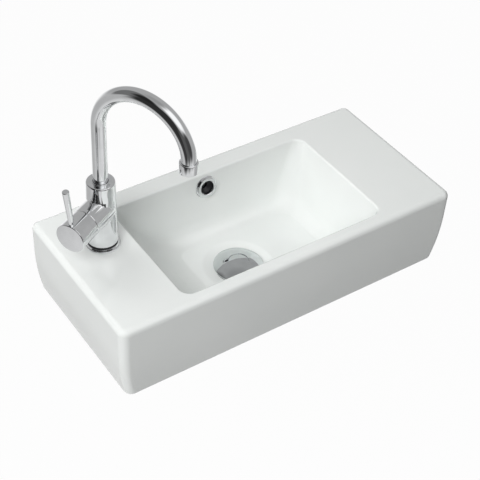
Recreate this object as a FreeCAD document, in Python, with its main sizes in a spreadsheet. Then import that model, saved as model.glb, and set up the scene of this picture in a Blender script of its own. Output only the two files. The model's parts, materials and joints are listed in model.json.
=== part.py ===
import FreeCAD, Part
import math
import os
from types import SimpleNamespace

import Sketcher

# Wall-hung washbasin with a shelf at each side of the bowl, a swan-neck mixer tap and a click plug.
# Row frame: X to the right, the wall at Y zero with the basin in front of it, Z up.
# The origin is midway between the two wall fixing holes, on the wall.

# Driving dimensions in millimetres, angles in degrees

BASIN_SIZES = dict(
    basin_width=500,
    basin_depth=230,
    basin_height=115,
    top_rise=45,
    side_straight=40,
    side_inset=9,
    front_inset=3.5,
    corner_radius=11,
    back_corner_radius=9,
    top_edge_radius=8,
    foot_edge_radius=5,
    deck_thickness=12,
    outer_wall=11,
    back_wall=12,
    bowl_wall=9,
    floor_wall=11,
    fixing_spacing=350,
    fixing_bore=12,
)

BOWL_SIZES = dict(
    bowl_left_share=0.612,
    bowl_right_share=0.582,
    bowl_back=30,
    bowl_front=211.5,
    bowl_corner=13,
    foot_left=69,
    ramp_turn=0.97,
    foot_right_share=0.486,
    foot_back=46.3,
    foot_front=201.5,
    foot_corner=34,
    foot_drop=91,
    foot_blend=20,
    dish_diameter=95,
    dish_flat=69,
    dish_blend=18,
    floor_drop=94.5,
    rim_radius=3.5,
    boss_diameter=84,
    boss_drop=109,
)

OVERFLOW_SIZES = dict(
    overflow_x=-9,
    overflow_drop=20.5,
    overflow_bore=23,
    overflow_ring_diameter=32,
    overflow_ring_bore=19.6,
    overflow_ring_rise=4.2,
    overflow_ring_inner_rise=2,
    overflow_sleeve_wall=1.4,
    overflow_sleeve_length=9,
    duct_width=20,
    duct_wall=5,
    duct_depth=8,
    duct_run_height=5,
    duct_cover=4,
)

WASTE_SIZES = dict(
    waste_x=-12,
    waste_y=-121.5,
    waste_hole=45,
    waste_thread=41.9,
    waste_bore=36.4,
    waste_flange_diameter=64,
    waste_flange_thickness=1.5,
    waste_flange_bevel=0.8,
    waste_throat=44,
    waste_throat_depth=4.5,
    waste_length=66,
    waste_tail=27,
    waste_relief_width=2,
    waste_relief_depth=0.8,
    waste_seal_thickness=1,
    waste_seal_width=8,
    web_height=4,
    web_drop=33,
    web_hub=14,
    web_arm=5,
    slot_width=18,
    cone_washer_height=8,
    cone_washer_diameter=62,
    cone_washer_tip=54,
    slip_washer_height=1.5,
    slip_washer_diameter=60,
    backnut_flats=56,
    backnut_height=10,
    nut_chamfer_angle=30,
)

PLUG_SIZES = dict(
    plug_diameter=67,
    plug_edge=1,
    plug_dome=8.5,
    plug_step_diameter=27.6,
    plug_step=0.8,
    plug_edge_radius=0.6,
    plug_travel=8,
    plug_seal_outer=58,
    plug_seal_inner=50,
    plug_seal_height=1.6,
    plug_seal_recess=1.2,
    plunger_diameter=10,
    plunger_collar_height=3,
    plunger_boss=20,
    plunger_boss_height=2.5,
    sleeve_diameter=18,
    sleeve_bore=15.2,
    sleeve_top=2,
    sleeve_base=2,
    sleeve_spare=1,
    sleeve_stud=7.8,
    spring_diameter=11,
    spring_wire=0.8,
    spring_height=5,
    spring_turns=4,
)

TAP_SIZES = dict(
    tap_share=0.765,
    tap_y=-81,
    tap_hole=35,
    handle_angle=-152,
    spout_angle=-65,
    body_height=98.5,
    body_foot_diameter=38.4,
    body_neck_diameter=36.4,
    body_top_diameter=35,
    body_shoulder=2,
    body_foot_edge=0.6,
    body_lip=0.8,
    spigot_diameter=34.4,
    spigot_drop=5,
    ring_diameter=43,
    ring_height=7.5,
    ring_top_diameter=37.4,
    ring_edge_height=3,
    ring_bead=1,
    base_seal_width=2.2,
    base_seal_height=1.2,
    base_seal_land=0.8,
    spout_socket=21.6,
    spout_socket_depth=40.5,
    inlet_bore=9,
    inlet_depth=28,
    inlet_reach=9,
    inlet_offset=7,
    inlet_seat_bore=10,
    inlet_seat_depth=5.6,
    waterway_bore=5.2,
    stud_diameter=8,
    stud_reach=9,
    stud_grip=16,
    stud_drop=46,
    stud_edge=0.8,
    lock_screw_diameter=5,
    lock_screw_length=6,
    lock_tip_diameter=2.6,
    lock_tip_length=2,
    lock_drop=25.5,
)

CLAMP_SIZES = dict(
    clamp_diameter=48,
    clamp_slot=24,
    clamp_slot_reach=9,
    clamp_rubber_height=3,
    clamp_plate_height=2.5,
    clamp_nut_flats=13,
    clamp_nut_height=8,
)

SPOUT_SIZES = dict(
    pipe_diameter=18,
    pipe_wall=1,
    pipe_above=82,
    pipe_bend_radius=60.5,
    pipe_fall=6,
    nipple_height=28,
    nipple_socket=9,
    nipple_bore=13,
    nipple_foot_gap=0.5,
    oring_section=1.5,
    oring_groove_width=2,
    oring_first=1.2,
    oring_pitch=6.6,
    feed_groove_width=3.6,
    feed_groove_depth=1.2,
    feed_hole=3,
    feed_holes=6,
    lock_groove_width=3.2,
    lock_groove_depth=2,
    bush_rise=0.6,
    bush_edge=0.4,
    aerator_diameter=22,
    aerator_height=14,
    aerator_lip=1.2,
    aerator_mouth=16,
    aerator_edge=0.6,
    aerator_overlap=6.5,
    aerator_seal_height=1,
    aerator_seal_bore=14,
    grid_core=14.6,
    grid_bar=0.7,
    grid_pitch=2.6,
    grid_depth=2.2,
    grid_row=6,
)

CARTRIDGE_SIZES = dict(
    side_drop=40.5,
    housing_diameter=37.6,
    pivot_reach=23,
    rim_reach=37,
    rim_gap=0.8,
    pocket_reach=12.2,
    pocket_diameter=25,
    pocket_step=29,
    nut_bore=28,
    cartridge_wall=1.35,
    cartridge_base=0.9,
    port_seal_height=0.5,
    port_seal_diameter=5.8,
    port_diameter=4.2,
    port_reach=6,
    port_count=3,
    disc_thickness=1.5,
    disc_diameter=18,
    disc_chamber=13,
    disc_chamber_depth=0.8,
    driver_thickness=1.8,
    driver_diameter=17,
    carrier_top=33,
    carrier_slot_above=5.1,
    carrier_slot_below=7.7,
    spindle_diameter=8,
    spindle_end=54,
    spindle_shoulder=2.6,
    spindle_edge=0.5,
    ball_diameter=2.6,
    ball_reach=4.7,
    ball_neck=1.8,
    pivot_pin_diameter=3,
    pivot_pin_length=20,
    nut_hole=22.4,
    nut_flange_diameter=32,
    nut_flange_height=1.6,
    nut_end=40,
)

HANDLE_SIZES = dict(
    cap_diameter=38,
    cap_end=67,
    cap_rim_wall=1,
    cap_rim_depth=8,
    cap_inner_diameter=33,
    cap_inner_end=52,
    cap_boss=14,
    cap_boss_start=46,
    cap_bore_end=56,
    cap_edge=0.9,
    lever_reach=62.3,
    lever_lean=8,
    lever_length=54.5,
    lever_foot_diameter=6.4,
    lever_tip_diameter=8.3,
    lever_edge=0.8,
    lever_seat=1.2,
    lever_stud=6,
    lever_stud_length=9,
    grub_reach=49,
    grub_diameter=5,
    grub_length=13,
)

FIT_SIZES = dict(
    running=0.05,
    slip=0.1,
    free=0.3,
    overrun=4,
)

# Where the bowl's sections lie: shares of the straight walls, then degrees of the turn at their foot
WALL_STEPS = (0, 0.2, 0.4, 0.6, 0.8)
FOOT_TURNS = (0, 27, 54, 80)


class Size:
    """A length or an angle: its value now, and the formula that the document keeps for it."""

    def __init__(self, value, formula):
        self.value = float(value)
        self.formula = formula

    @staticmethod
    def of(other):
        return other if isinstance(other, Size) else Size(other, repr(float(other)))

    def join(self, other, sign, value):
        return Size(value, "(%s %s %s)" % (self.formula, sign, Size.of(other).formula))

    def __add__(self, other):
        return self.join(other, "+", self.value + Size.of(other).value)

    def __sub__(self, other):
        return self.join(other, "-", self.value - Size.of(other).value)

    def __mul__(self, other):
        return self.join(other, "*", self.value * Size.of(other).value)

    def __truediv__(self, other):
        return self.join(other, "/", self.value / Size.of(other).value)

    def __radd__(self, other):
        return Size.of(other) + self

    def __rsub__(self, other):
        return Size.of(other) - self

    def __rmul__(self, other):
        return Size.of(other) * self

    def __neg__(self):
        return Size(-self.value, "(-%s)" % self.formula)


def root(size):
    return Size(math.sqrt(size.value), "sqrt(%s)" % size.formula)


def sine(angle):
    return Size(math.sin(math.radians(angle.value)), "sin(%s)" % angle.formula)


def cosine(angle):
    return Size(math.cos(math.radians(angle.value)), "cos(%s)" % angle.formula)


def arc_tangent(ratio):
    return Size(math.degrees(math.atan(ratio.value)), "atan(%s)" % ratio.formula)


def tangent(angle):
    return Size(math.tan(math.radians(angle.value)), "tan(%s)" % angle.formula)


def number(size):
    return Size.of(size).value


def square(size):
    return size * size


doc = FreeCAD.newDocument("washbasin")
sheet = doc.addObject("Spreadsheet::Sheet", "Sizes")


def fill_sheet(*tables):
    """Writes every driving dimension to its own named cell and returns them as Size values."""
    names = {}
    row = 0
    for table in tables:
        for name, value in table.items():
            row += 1
            sheet.set("A%d" % row, name)
            sheet.set("B%d" % row, str(value))
            sheet.setAlias("B%d" % row, name)
            names[name] = Size(value, "Sizes." + name)
    doc.recompute()
    return SimpleNamespace(**names)


s = fill_sheet(
    BASIN_SIZES,
    BOWL_SIZES,
    OVERFLOW_SIZES,
    WASTE_SIZES,
    PLUG_SIZES,
    TAP_SIZES,
    CLAMP_SIZES,
    SPOUT_SIZES,
    CARTRIDGE_SIZES,
    HANDLE_SIZES,
    FIT_SIZES,
)

subparts = []


# Sketches and features

def bind(thing, path, size):
    """Ties one property of an object to the formula of a size."""
    size = Size.of(size)
    thing.setExpression(path, size.formula)


def new_body(name):
    body = doc.addObject("PartDesign::Body", name)
    body.Label = name
    subparts.append(body)
    return body


def new_sketch(body, name, role="XZ_Plane", offset=0, across=0, up=0, lean=None, lean_axis=(1, 0, 0)):
    """
    A sketch on one of the body's own planes. The offset moves it along the plane's normal, across
    and up move it in the plane, and a lean turns it about an axis of the plane.
    """
    sketch = body.newObject("Sketcher::SketchObject", name)
    plane = [item for item in body.Origin.OriginFeatures if item.Role == role][0]
    sketch.AttachmentSupport = [(plane, "")]
    sketch.MapMode = "FlatFace"
    if lean is not None:
        rotation = FreeCAD.Rotation(FreeCAD.Vector(*lean_axis), lean.value)
        sketch.AttachmentOffset = FreeCAD.Placement(FreeCAD.Vector(), rotation)
        bind(sketch, "AttachmentOffset.Rotation.Angle", lean)
    bind(sketch, "AttachmentOffset.Base.x", across)
    bind(sketch, "AttachmentOffset.Base.y", up)
    bind(sketch, "AttachmentOffset.Base.z", offset)
    return sketch


def pin_point(sketch, edge, end, corner):
    """Fixes one end of an edge at a place given by two sizes."""
    for axis, size, line in (("X", corner[0], -2), ("Y", corner[1], -1)):
        if not isinstance(size, Size):
            sketch.addConstraint(Sketcher.Constraint("PointOnObject", edge, end, line))
            continue
        rule = Sketcher.Constraint("Distance" + axis, -1, 1, edge, end, size.value)
        index = sketch.addConstraint(rule)
        sketch.setExpression("Constraints[%d]" % index, size.formula)


def arc_between(first, last, radius):
    """The short arc from first to last, with its centre to the left of the way for a positive radius."""
    size = abs(radius)
    chord = last - first
    across = FreeCAD.Vector(-chord.y, chord.x, 0).normalize()
    rise = math.sqrt(max(size * size - chord.Length * chord.Length / 4, 0))
    centre = (first + last) * 0.5 + across * math.copysign(rise, radius)
    start, end = (first, last) if radius > 0 else (last, first)
    turn = [math.atan2(point.y - centre.y, point.x - centre.x) for point in (start, end)]
    if turn[1] < turn[0]:
        turn[1] += 2 * math.pi
    circle = Part.Circle(centre, FreeCAD.Vector(0, 0, 1), size)
    return Part.ArcOfCircle(circle, turn[0], turn[1])


def outline(sketch, corners):
    """
    Draws one closed outline. Each corner is (x, y), or (x, y, radius) where the way to the next
    corner is an arc: a positive radius has its centre to the left of the way, a negative to the right.
    """
    first_edge = sketch.GeometryCount
    count = len(corners)
    places = [FreeCAD.Vector(number(corner[0]), number(corner[1]), 0) for corner in corners]
    ends = []
    for index, corner in enumerate(corners):
        after = places[(index + 1) % count]
        if len(corner) == 3:
            radius = number(corner[2])
            sketch.addGeometry(arc_between(places[index], after, radius))
            ends.append((1, 2) if radius > 0 else (2, 1))
        else:
            sketch.addGeometry(Part.LineSegment(places[index], after))
            ends.append((1, 2))
    for index in range(count):
        after = (index + 1) % count
        rule = Sketcher.Constraint(
            "Coincident", first_edge + index, ends[index][1], first_edge + after, ends[after][0]
        )
        sketch.addConstraint(rule)
    for index, corner in enumerate(corners):
        pin_point(sketch, first_edge + index, ends[index][0], corner)
        if len(corner) == 3:
            rule = Sketcher.Constraint("Radius", first_edge + index, abs(number(corner[2])))
            constraint = sketch.addConstraint(rule)
            sketch.setExpression("Constraints[%d]" % constraint, "abs(%s)" % corner[2].formula)
    return sketch


def circle(sketch, diameter, x=0, y=0):
    edge = sketch.addGeometry(
        Part.Circle(
            FreeCAD.Vector(number(x), number(y), 0), FreeCAD.Vector(0, 0, 1), number(diameter) / 2
        )
    )
    pin_point(sketch, edge, 3, (x, y))
    index = sketch.addConstraint(Sketcher.Constraint("Diameter", edge, number(diameter)))
    sketch.setExpression("Constraints[%d]" % index, diameter.formula)
    return sketch


def box_outline(sketch, left, right, low, high):
    return outline(sketch, [(left, low), (right, low), (right, high), (left, high)])


def rounded_box(sketch, left, right, low, high, corner):
    """A rectangle whose corners are quarter circles."""
    return outline(
        sketch,
        [
            (left + corner, low),
            (right - corner, low, corner),
            (right, low + corner),
            (right, high - corner, corner),
            (right - corner, high),
            (left + corner, high, corner),
            (left, high - corner),
            (left, low + corner, corner),
        ],
    )


def hexagon(sketch, flats):
    """A regular hexagon by the distance across its flats."""
    side = flats / root(Size.of(3))
    half = flats / 2
    return outline(
        sketch,
        [
            (side, 0),
            (side / 2, half),
            (-side / 2, half),
            (-side, 0),
            (-side / 2, -half),
            (side / 2, -half),
        ],
    )


def pad(body, sketch, length, reverse=False, middle=False):
    feature = body.newObject("PartDesign::Pad", sketch.Name + "_pad")
    feature.Profile = sketch
    feature.Reversed = reverse
    feature.Midplane = middle
    bind(feature, "Length", length)
    doc.recompute()
    return feature


def checked_cut(body, feature, before):
    """A cut that points away from the solid removes nothing, so its volume is compared."""
    doc.recompute()
    if feature.Shape.isNull() or feature.Shape.Volume >= before:
        raise RuntimeError("%s cuts nothing" % feature.Name)
    return feature


def pocket(body, sketch, length=None, reverse=False, middle=False):
    before = body.Tip.Shape.Volume
    feature = body.newObject("PartDesign::Pocket", sketch.Name + "_cut")
    feature.Profile = sketch
    feature.Reversed = reverse
    feature.Midplane = middle
    if length is None:
        feature.Type = "ThroughAll"
    else:
        bind(feature, "Length", length)
    return checked_cut(body, feature, before)


def turn(body, sketch, axis="V_Axis"):
    feature = body.newObject("PartDesign::Revolution", sketch.Name + "_turn")
    feature.Profile = sketch
    feature.ReferenceAxis = (sketch, [axis])
    feature.Angle = 360
    doc.recompute()
    return feature


def groove(body, sketch, axis="V_Axis"):
    before = body.Tip.Shape.Volume
    feature = body.newObject("PartDesign::Groove", sketch.Name + "_groove")
    feature.Profile = sketch
    feature.ReferenceAxis = (sketch, [axis])
    feature.Angle = 360
    return checked_cut(body, feature, before)


def loft(body, name, sketches, cut=False):
    """A smooth skin through the sections, added or cut away."""
    kind = "PartDesign::SubtractiveLoft" if cut else "PartDesign::AdditiveLoft"
    feature = body.newObject(kind, name)
    feature.Profile = sketches[0]
    feature.Sections = sketches[1:]
    doc.recompute()
    return feature


def soften(body, name, radius, wanted):
    """Rounds the edges that the test picks."""
    base = body.Tip
    edges = [
        "Edge%d" % (index + 1) for index, edge in enumerate(base.Shape.Edges) if wanted(edge)
    ]
    if not edges:
        raise RuntimeError("%s finds no edge" % name)
    feature = body.newObject("PartDesign::Fillet", name)
    feature.Base = (base, edges)
    bind(feature, "Radius", radius)
    doc.recompute()
    return feature


def near(one, other):
    """Equal to within a share of the running fit, the smallest size in the model."""
    return abs(number(one) - number(other)) < number(s.running) / 5


def at_level(edge, level):
    box = edge.BoundBox
    return near(box.ZMin, level) and near(box.ZMax, level)


def ring_edge(level, diameter):
    """A test for the circle of one diameter at one height, on a piece turned about Z."""

    def wanted(edge):
        box = edge.BoundBox
        return at_level(edge, level) and near(box.XMax - box.XMin, diameter)

    return wanted


def place(thing, x=0, y=0, z=0, rotation=None):
    """Puts a sub-part in the row frame."""
    thing.Placement = FreeCAD.Placement(
        FreeCAD.Vector(number(x), number(y), number(z)), rotation or FreeCAD.Rotation()
    )
    for axis, size in (("x", x), ("y", y), ("z", z)):
        bind(thing, "Placement.Base." + axis, size)
    return thing


def spin(axis, angle):
    return FreeCAD.Rotation(FreeCAD.Vector(*axis), number(angle))


def place_on_tap(thing, facing, reach=0, height=0, tilt=None, aside=0):
    """Puts a sub-part by its reach from the tap's own axis, along a heading, and its height."""
    rotation = spin((0, 0, 1), facing)
    if tilt is not None:
        rotation = rotation.multiply(tilt)
    return place(
        thing,
        tap_x + cosine(facing) * reach - sine(facing) * aside,
        s.tap_y + sine(facing) * reach + cosine(facing) * aside,
        top + height,
        rotation,
    )


def place_on_side_axis(thing, reach):
    """Puts a sub-part on the axis of the cartridge, its own Z pointing out to the handle."""
    return place_on_tap(thing, s.handle_angle, reach, side_height, spin((0, 1, 0), 90))


def turned(name, corners):
    """A piece made on a lathe: an outline of radius and height, turned about its own Z axis."""
    body = new_body(name)
    turn(body, outline(new_sketch(body, name + "_outline"), corners))
    return body


def ring_corners(inner, outer, height):
    """A flat ring standing on its own origin."""
    return [(inner / 2, 0), (outer / 2, 0), (outer / 2, height), (inner / 2, height)]


def rings(name, section, diameter, centres):
    """Identical round rings, each its own solid, in one sub-part."""
    links = []
    for index, (x, y, z) in enumerate(centres):
        torus = doc.addObject("Part::Torus", "%s_%d" % (name, index))
        bind(torus, "Radius1", diameter / 2)
        bind(torus, "Radius2", section / 2)
        place(torus, x, y, z)
        links.append(torus)
    group = doc.addObject("Part::Compound", name)
    group.Label = name
    group.Links = links
    doc.recompute()
    subparts.append(group)
    return group


def polar(body, feature, count):
    """Repeats the last feature round the piece's own axis."""
    pattern = body.newObject("PartDesign::PolarPattern", feature.Name + "_round")
    pattern.Originals = [feature]
    pattern.Axis = ([item for item in body.Origin.OriginFeatures if item.Role == "Z_Axis"][0], [""])
    pattern.Angle = 360
    bind(pattern, "Occurrences", count)
    body.Tip = pattern
    doc.recompute()
    return pattern


# Places that several pieces share

top = s.top_rise
bottom = top - s.basin_height
foot_level = top - s.foot_drop
floor_level = top - s.floor_drop
boss_level = top - s.boss_drop
deck_under = top - s.deck_thickness
duct_low = boss_level + s.duct_cover
half_width = s.basin_width / 2
bowl_left = half_width * s.bowl_left_share
bowl_right = half_width * s.bowl_right_share
foot_right = half_width * s.foot_right_share
tap_x = -half_width * s.tap_share
side_height = s.body_height - s.side_drop
lock_height = s.body_height - s.lock_drop
pipe_rise = s.body_height + s.pipe_above
fixing_reach = s.fixing_spacing / 2
wall_lean = arc_tangent((s.foot_back - s.bowl_back) / s.foot_drop)
overflow_y = -s.bowl_back - s.overflow_drop * tangent(wall_lean)
overflow_z = top - s.overflow_drop
flange_level = floor_level + s.waste_seal_thickness
flange_top = flange_level + s.waste_flange_thickness
web_top = flange_level - s.web_drop
plug_under = flange_top + s.free + s.plug_seal_height - s.plug_seal_recess
collar_level = web_top + s.sleeve_base + s.spring_height
nipple_foot = s.body_height - s.spout_socket_depth + s.nipple_foot_gap
nipple_top = nipple_foot + s.nipple_height
port_across = s.port_reach * root(Size.of(3)) / 2
oring_centre = (s.spout_socket - s.oring_section - s.running) / 2
cap_inner = s.cap_diameter / 2 - s.cap_rim_wall
rim_from_pivot = s.rim_reach - s.pivot_reach
housing_end = s.rim_reach - s.rim_gap
cartridge_foot = s.pocket_reach + s.port_seal_height
fixed_disc_foot = cartridge_foot + s.cartridge_base
moving_disc_foot = fixed_disc_foot + s.disc_thickness + s.running
driver_foot = moving_disc_foot + s.disc_thickness
carrier_foot = driver_foot + s.driver_thickness + s.free


def curve_radius(height, inset):
    """The radius of an arc that leaves a straight side smoothly and steps in by the inset."""
    return (height * height + inset * inset) / (2 * inset)


# Basin

def basin_profile(sketch, wall, upper, lower):
    """The basin seen from the front: straight sides that curve in towards the bottom."""
    knee = top - s.side_straight
    outer = curve_radius(knee - bottom, s.side_inset)
    side = half_width - wall
    foot = side - s.side_inset
    return outline(
        sketch,
        [
            (-foot, lower),
            (foot, lower),
            (foot, bottom, outer - wall),
            (side, knee),
            (side, upper),
            (-side, upper),
            (-side, knee, outer - wall),
            (-foot, bottom),
        ],
    )


def outer_profile(sketch):
    """The outside of the basin seen from the front."""
    knee = top - s.side_straight
    outer = curve_radius(knee - bottom, s.side_inset)
    foot = half_width - s.side_inset
    return outline(
        sketch,
        [
            (-foot, bottom),
            (foot, bottom, outer),
            (half_width, knee),
            (half_width, top),
            (-half_width, top),
            (-half_width, knee, outer),
        ],
    )


def ramp_share(depth):
    """How far in the ramp has come at a share of the depth: a stretch of an ellipse, steep first."""
    turn = s.ramp_turn * depth
    whole = Size.of(1) - root(Size.of(1) - s.ramp_turn * s.ramp_turn)
    return (Size.of(1) - root(Size.of(1) - turn * turn)) / whole


def bowl_stations(drop):
    """How deep each section lies and how far the turn at the foot has drawn it in by then."""
    turned_drop = s.foot_blend * sine(Size.of(FOOT_TURNS[-1]))
    walls = [((drop - turned_drop) * step, Size.of(0)) for step in WALL_STEPS]
    turns = [
        (drop - turned_drop + s.foot_blend * sine(turn), s.foot_blend * (1 - cosine(turn)))
        for turn in map(Size.of, FOOT_TURNS)
    ]
    return walls + turns


def bowl_sections(body, name, spread, mouth_level, foot_level):
    """
    Sections of the bowl from the mouth to the flat of its floor, each a rounded rectangle. The left
    wall is a long hollow ramp under the tap. The others are straight and steep, and turn into the
    floor at their foot. The spread widens every section, which gives the outer skin.
    """
    drop = mouth_level - foot_level
    sections = []
    for depth, curl in bowl_stations(drop):
        section = new_sketch(
            body, "%s_section_%d" % (name, len(sections)), "XY_Plane", offset=mouth_level - depth
        )
        share = depth / drop
        rounded_box(
            section,
            -bowl_left + (bowl_left - s.foot_left) * ramp_share(share) - spread,
            bowl_right + (foot_right - bowl_right) * share - curl + spread,
            -s.bowl_front + (s.bowl_front - s.foot_front) * share + curl - spread,
            -s.bowl_back + (s.bowl_back - s.foot_back) * share - curl + spread,
            s.bowl_corner + (s.foot_corner - s.bowl_corner) * share - curl + spread,
        )
        sections.append(section)
    return sections


def basin_shell(body):
    """The outside of the basin with its curved sides and front."""
    outside = outer_profile(new_sketch(body, "outside", "XZ_Plane"))
    pad(body, outside, s.basin_depth)
    knee = top - s.side_straight
    front = -s.basin_depth
    curve = curve_radius(knee - bottom, s.front_inset)
    front_cut = outline(
        new_sketch(body, "front_curve", "YZ_Plane"),
        [
            (front, knee, curve),
            (front + s.front_inset, bottom),
            (front + s.front_inset, bottom - s.overrun),
            (front - s.overrun, bottom - s.overrun),
            (front - s.overrun, knee),
        ],
    )
    pocket(body, front_cut, middle=True)


def basin_edges(body):
    """The corners, then the top edge and the foot edge, on the three sides away from the wall."""

    def upright(edge):
        box = edge.BoundBox
        return (
            box.ZLength > number(s.basin_height - s.side_straight) / 2
            and box.XLength < number(s.side_inset * 2)
        )

    def front_corner(edge):
        return upright(edge) and edge.BoundBox.YMax < number(s.front_inset - s.basin_depth + s.running)

    def back_corner(edge):
        return upright(edge) and edge.BoundBox.YMin > -number(s.running)

    soften(body, "corners", s.corner_radius, front_corner)
    soften(body, "back_corners", s.back_corner_radius, back_corner)

    def rim(level):
        return lambda edge: at_level(edge, level) and edge.BoundBox.YMin < -number(s.running)

    soften(body, "top_edge", s.top_edge_radius, rim(top))
    soften(body, "foot_edge", s.foot_edge_radius, rim(bottom))


def basin_hollow(body):
    """The open underside behind the skirts, up to the underside of the deck."""
    inside = basin_profile(
        new_sketch(body, "inside", "XZ_Plane", offset=s.back_wall),
        s.outer_wall,
        deck_under,
        bottom - s.overrun,
    )
    pocket(body, inside, s.basin_depth - s.back_wall - s.outer_wall, reverse=True)


def basin_skin(body):
    """The outer skin of the bowl, the boss round the waste and the overflow duct, still solid."""
    sections = bowl_sections(
        body, "skin", s.bowl_wall, top - s.deck_thickness / 2, foot_level - s.floor_wall
    )
    loft(body, "skin", sections)
    boss = circle(
        new_sketch(body, "boss", "XY_Plane", offset=boss_level), s.boss_diameter, s.waste_x, s.waste_y
    )
    pad(body, boss, floor_level - boss_level)
    inner = foot_level - s.floor_wall / 2
    duct = outline(
        new_sketch(body, "duct", "YZ_Plane", offset=s.overflow_x),
        [
            (-s.back_wall / 2, deck_under),
            (-s.back_wall / 2, boss_level),
            (s.waste_y, boss_level),
            (s.waste_y, inner),
            (-s.foot_back - s.foot_blend, inner),
            (-s.bowl_back, deck_under + s.duct_wall),
        ],
    )
    pad(body, duct, s.duct_width + s.duct_wall * 2, middle=True)


def basin_bowl(body):
    """The inside of the bowl, the shallow dish round the waste and the soft edge of the mouth."""
    loft(body, "bowl", bowl_sections(body, "bowl", Size.of(0), top, foot_level), cut=True)
    dish = new_sketch(body, "dish", "XZ_Plane", offset=-s.waste_y, across=s.waste_x)
    outline(
        dish,
        [
            (0, floor_level),
            (s.dish_flat / 2, floor_level),
            (s.dish_diameter / 2, foot_level),
            (s.dish_diameter / 2, foot_level + s.overrun),
            (0, foot_level + s.overrun),
        ],
    )
    groove(body, dish)

    def dish_rims(edge):
        box = edge.BoundBox
        flat = at_level(edge, foot_level) and near(box.XLength, s.dish_diameter)
        return flat or (at_level(edge, floor_level) and near(box.XLength, s.dish_flat))

    soften(body, "dish_soft", s.dish_blend, dish_rims)

    def mouth_loop(edge):
        return at_level(edge, top) and in_bowl(edge.BoundBox)

    soften(body, "mouth_soft", s.rim_radius, mouth_loop)


def in_bowl(box):
    """A test for an edge's box that lies within the mouth of the bowl, seen from above."""
    slack = number(s.running)
    across = -number(bowl_left) - slack < box.XMin and box.XMax < number(bowl_right) + slack
    return across and -number(s.bowl_front) - slack < box.YMin and box.YMax < slack - number(s.bowl_back)


def basin_holes(body):
    """The waste hole, the tap hole, the wall fixing holes, the overflow hole and its duct."""
    waste = circle(
        new_sketch(body, "waste_hole_outline", "XY_Plane", offset=floor_level + s.overrun),
        s.waste_hole,
        s.waste_x,
        s.waste_y,
    )
    pocket(body, waste, s.floor_drop)
    tap = circle(
        new_sketch(body, "tap_hole_outline", "XY_Plane", offset=top + s.overrun),
        s.tap_hole,
        tap_x,
        s.tap_y,
    )
    pocket(body, tap, s.deck_thickness + s.overrun * 2)
    fixings = new_sketch(body, "fixing_holes", "XZ_Plane", offset=-s.overrun)
    circle(fixings, s.fixing_bore, -fixing_reach, 0)
    circle(fixings, s.fixing_bore, fixing_reach, 0)
    pocket(body, fixings, s.back_wall + s.overrun * 2, reverse=True)
    duct_top = top - s.overflow_drop + s.overflow_bore / 2
    duct_high = duct_low + s.duct_run_height
    back = -s.back_wall
    duct = outline(
        new_sketch(body, "duct_inside", "YZ_Plane", offset=s.overflow_x),
        [
            (back, duct_top),
            (back, duct_low),
            (s.waste_y + s.waste_hole / 4, duct_low),
            (s.waste_y + s.waste_hole / 4, duct_high),
            (back - s.duct_depth, duct_high),
            (back - s.duct_depth, duct_top),
        ],
    )
    pocket(body, duct, s.duct_width, middle=True)
    overflow = circle(
        new_sketch(
            body,
            "overflow_hole",
            "XZ_Plane",
            offset=-overflow_y + s.overrun * cosine(wall_lean),
            across=s.overflow_x,
            up=overflow_z + s.overrun * sine(wall_lean),
            lean=wall_lean,
            lean_axis=(-1, 0, 0),
        ),
        s.overflow_bore,
    )
    wall = -overflow_y - s.back_wall - s.duct_depth / 2
    pocket(body, overflow, s.overrun + wall / cosine(wall_lean))


def make_basin():
    body = new_body("basin_body")
    basin_shell(body)
    basin_edges(body)
    basin_hollow(body)
    basin_skin(body)
    basin_bowl(body)
    basin_holes(body)
    place(body)


# Overflow

def make_overflow_ring():
    """A bright ring on the back wall of the bowl with a sleeve into the overflow hole."""
    bore = s.overflow_ring_bore / 2
    outer = s.overflow_ring_diameter / 2
    sleeve = bore + s.overflow_sleeve_wall
    crown = outer - s.overflow_ring_rise
    body = turned(
        "overflow_ring",
        [
            (bore, -s.overflow_sleeve_length),
            (sleeve, -s.overflow_sleeve_length),
            (sleeve, 0),
            (outer, 0, s.overflow_ring_rise),
            (crown, s.overflow_ring_rise, s.overflow_ring_inner_rise),
            (bore, s.overflow_ring_rise - s.overflow_ring_inner_rise),
        ],
    )
    place(body, s.overflow_x, overflow_y, overflow_z, spin((1, 0, 0), 90 - wall_lean))


# Waste

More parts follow.
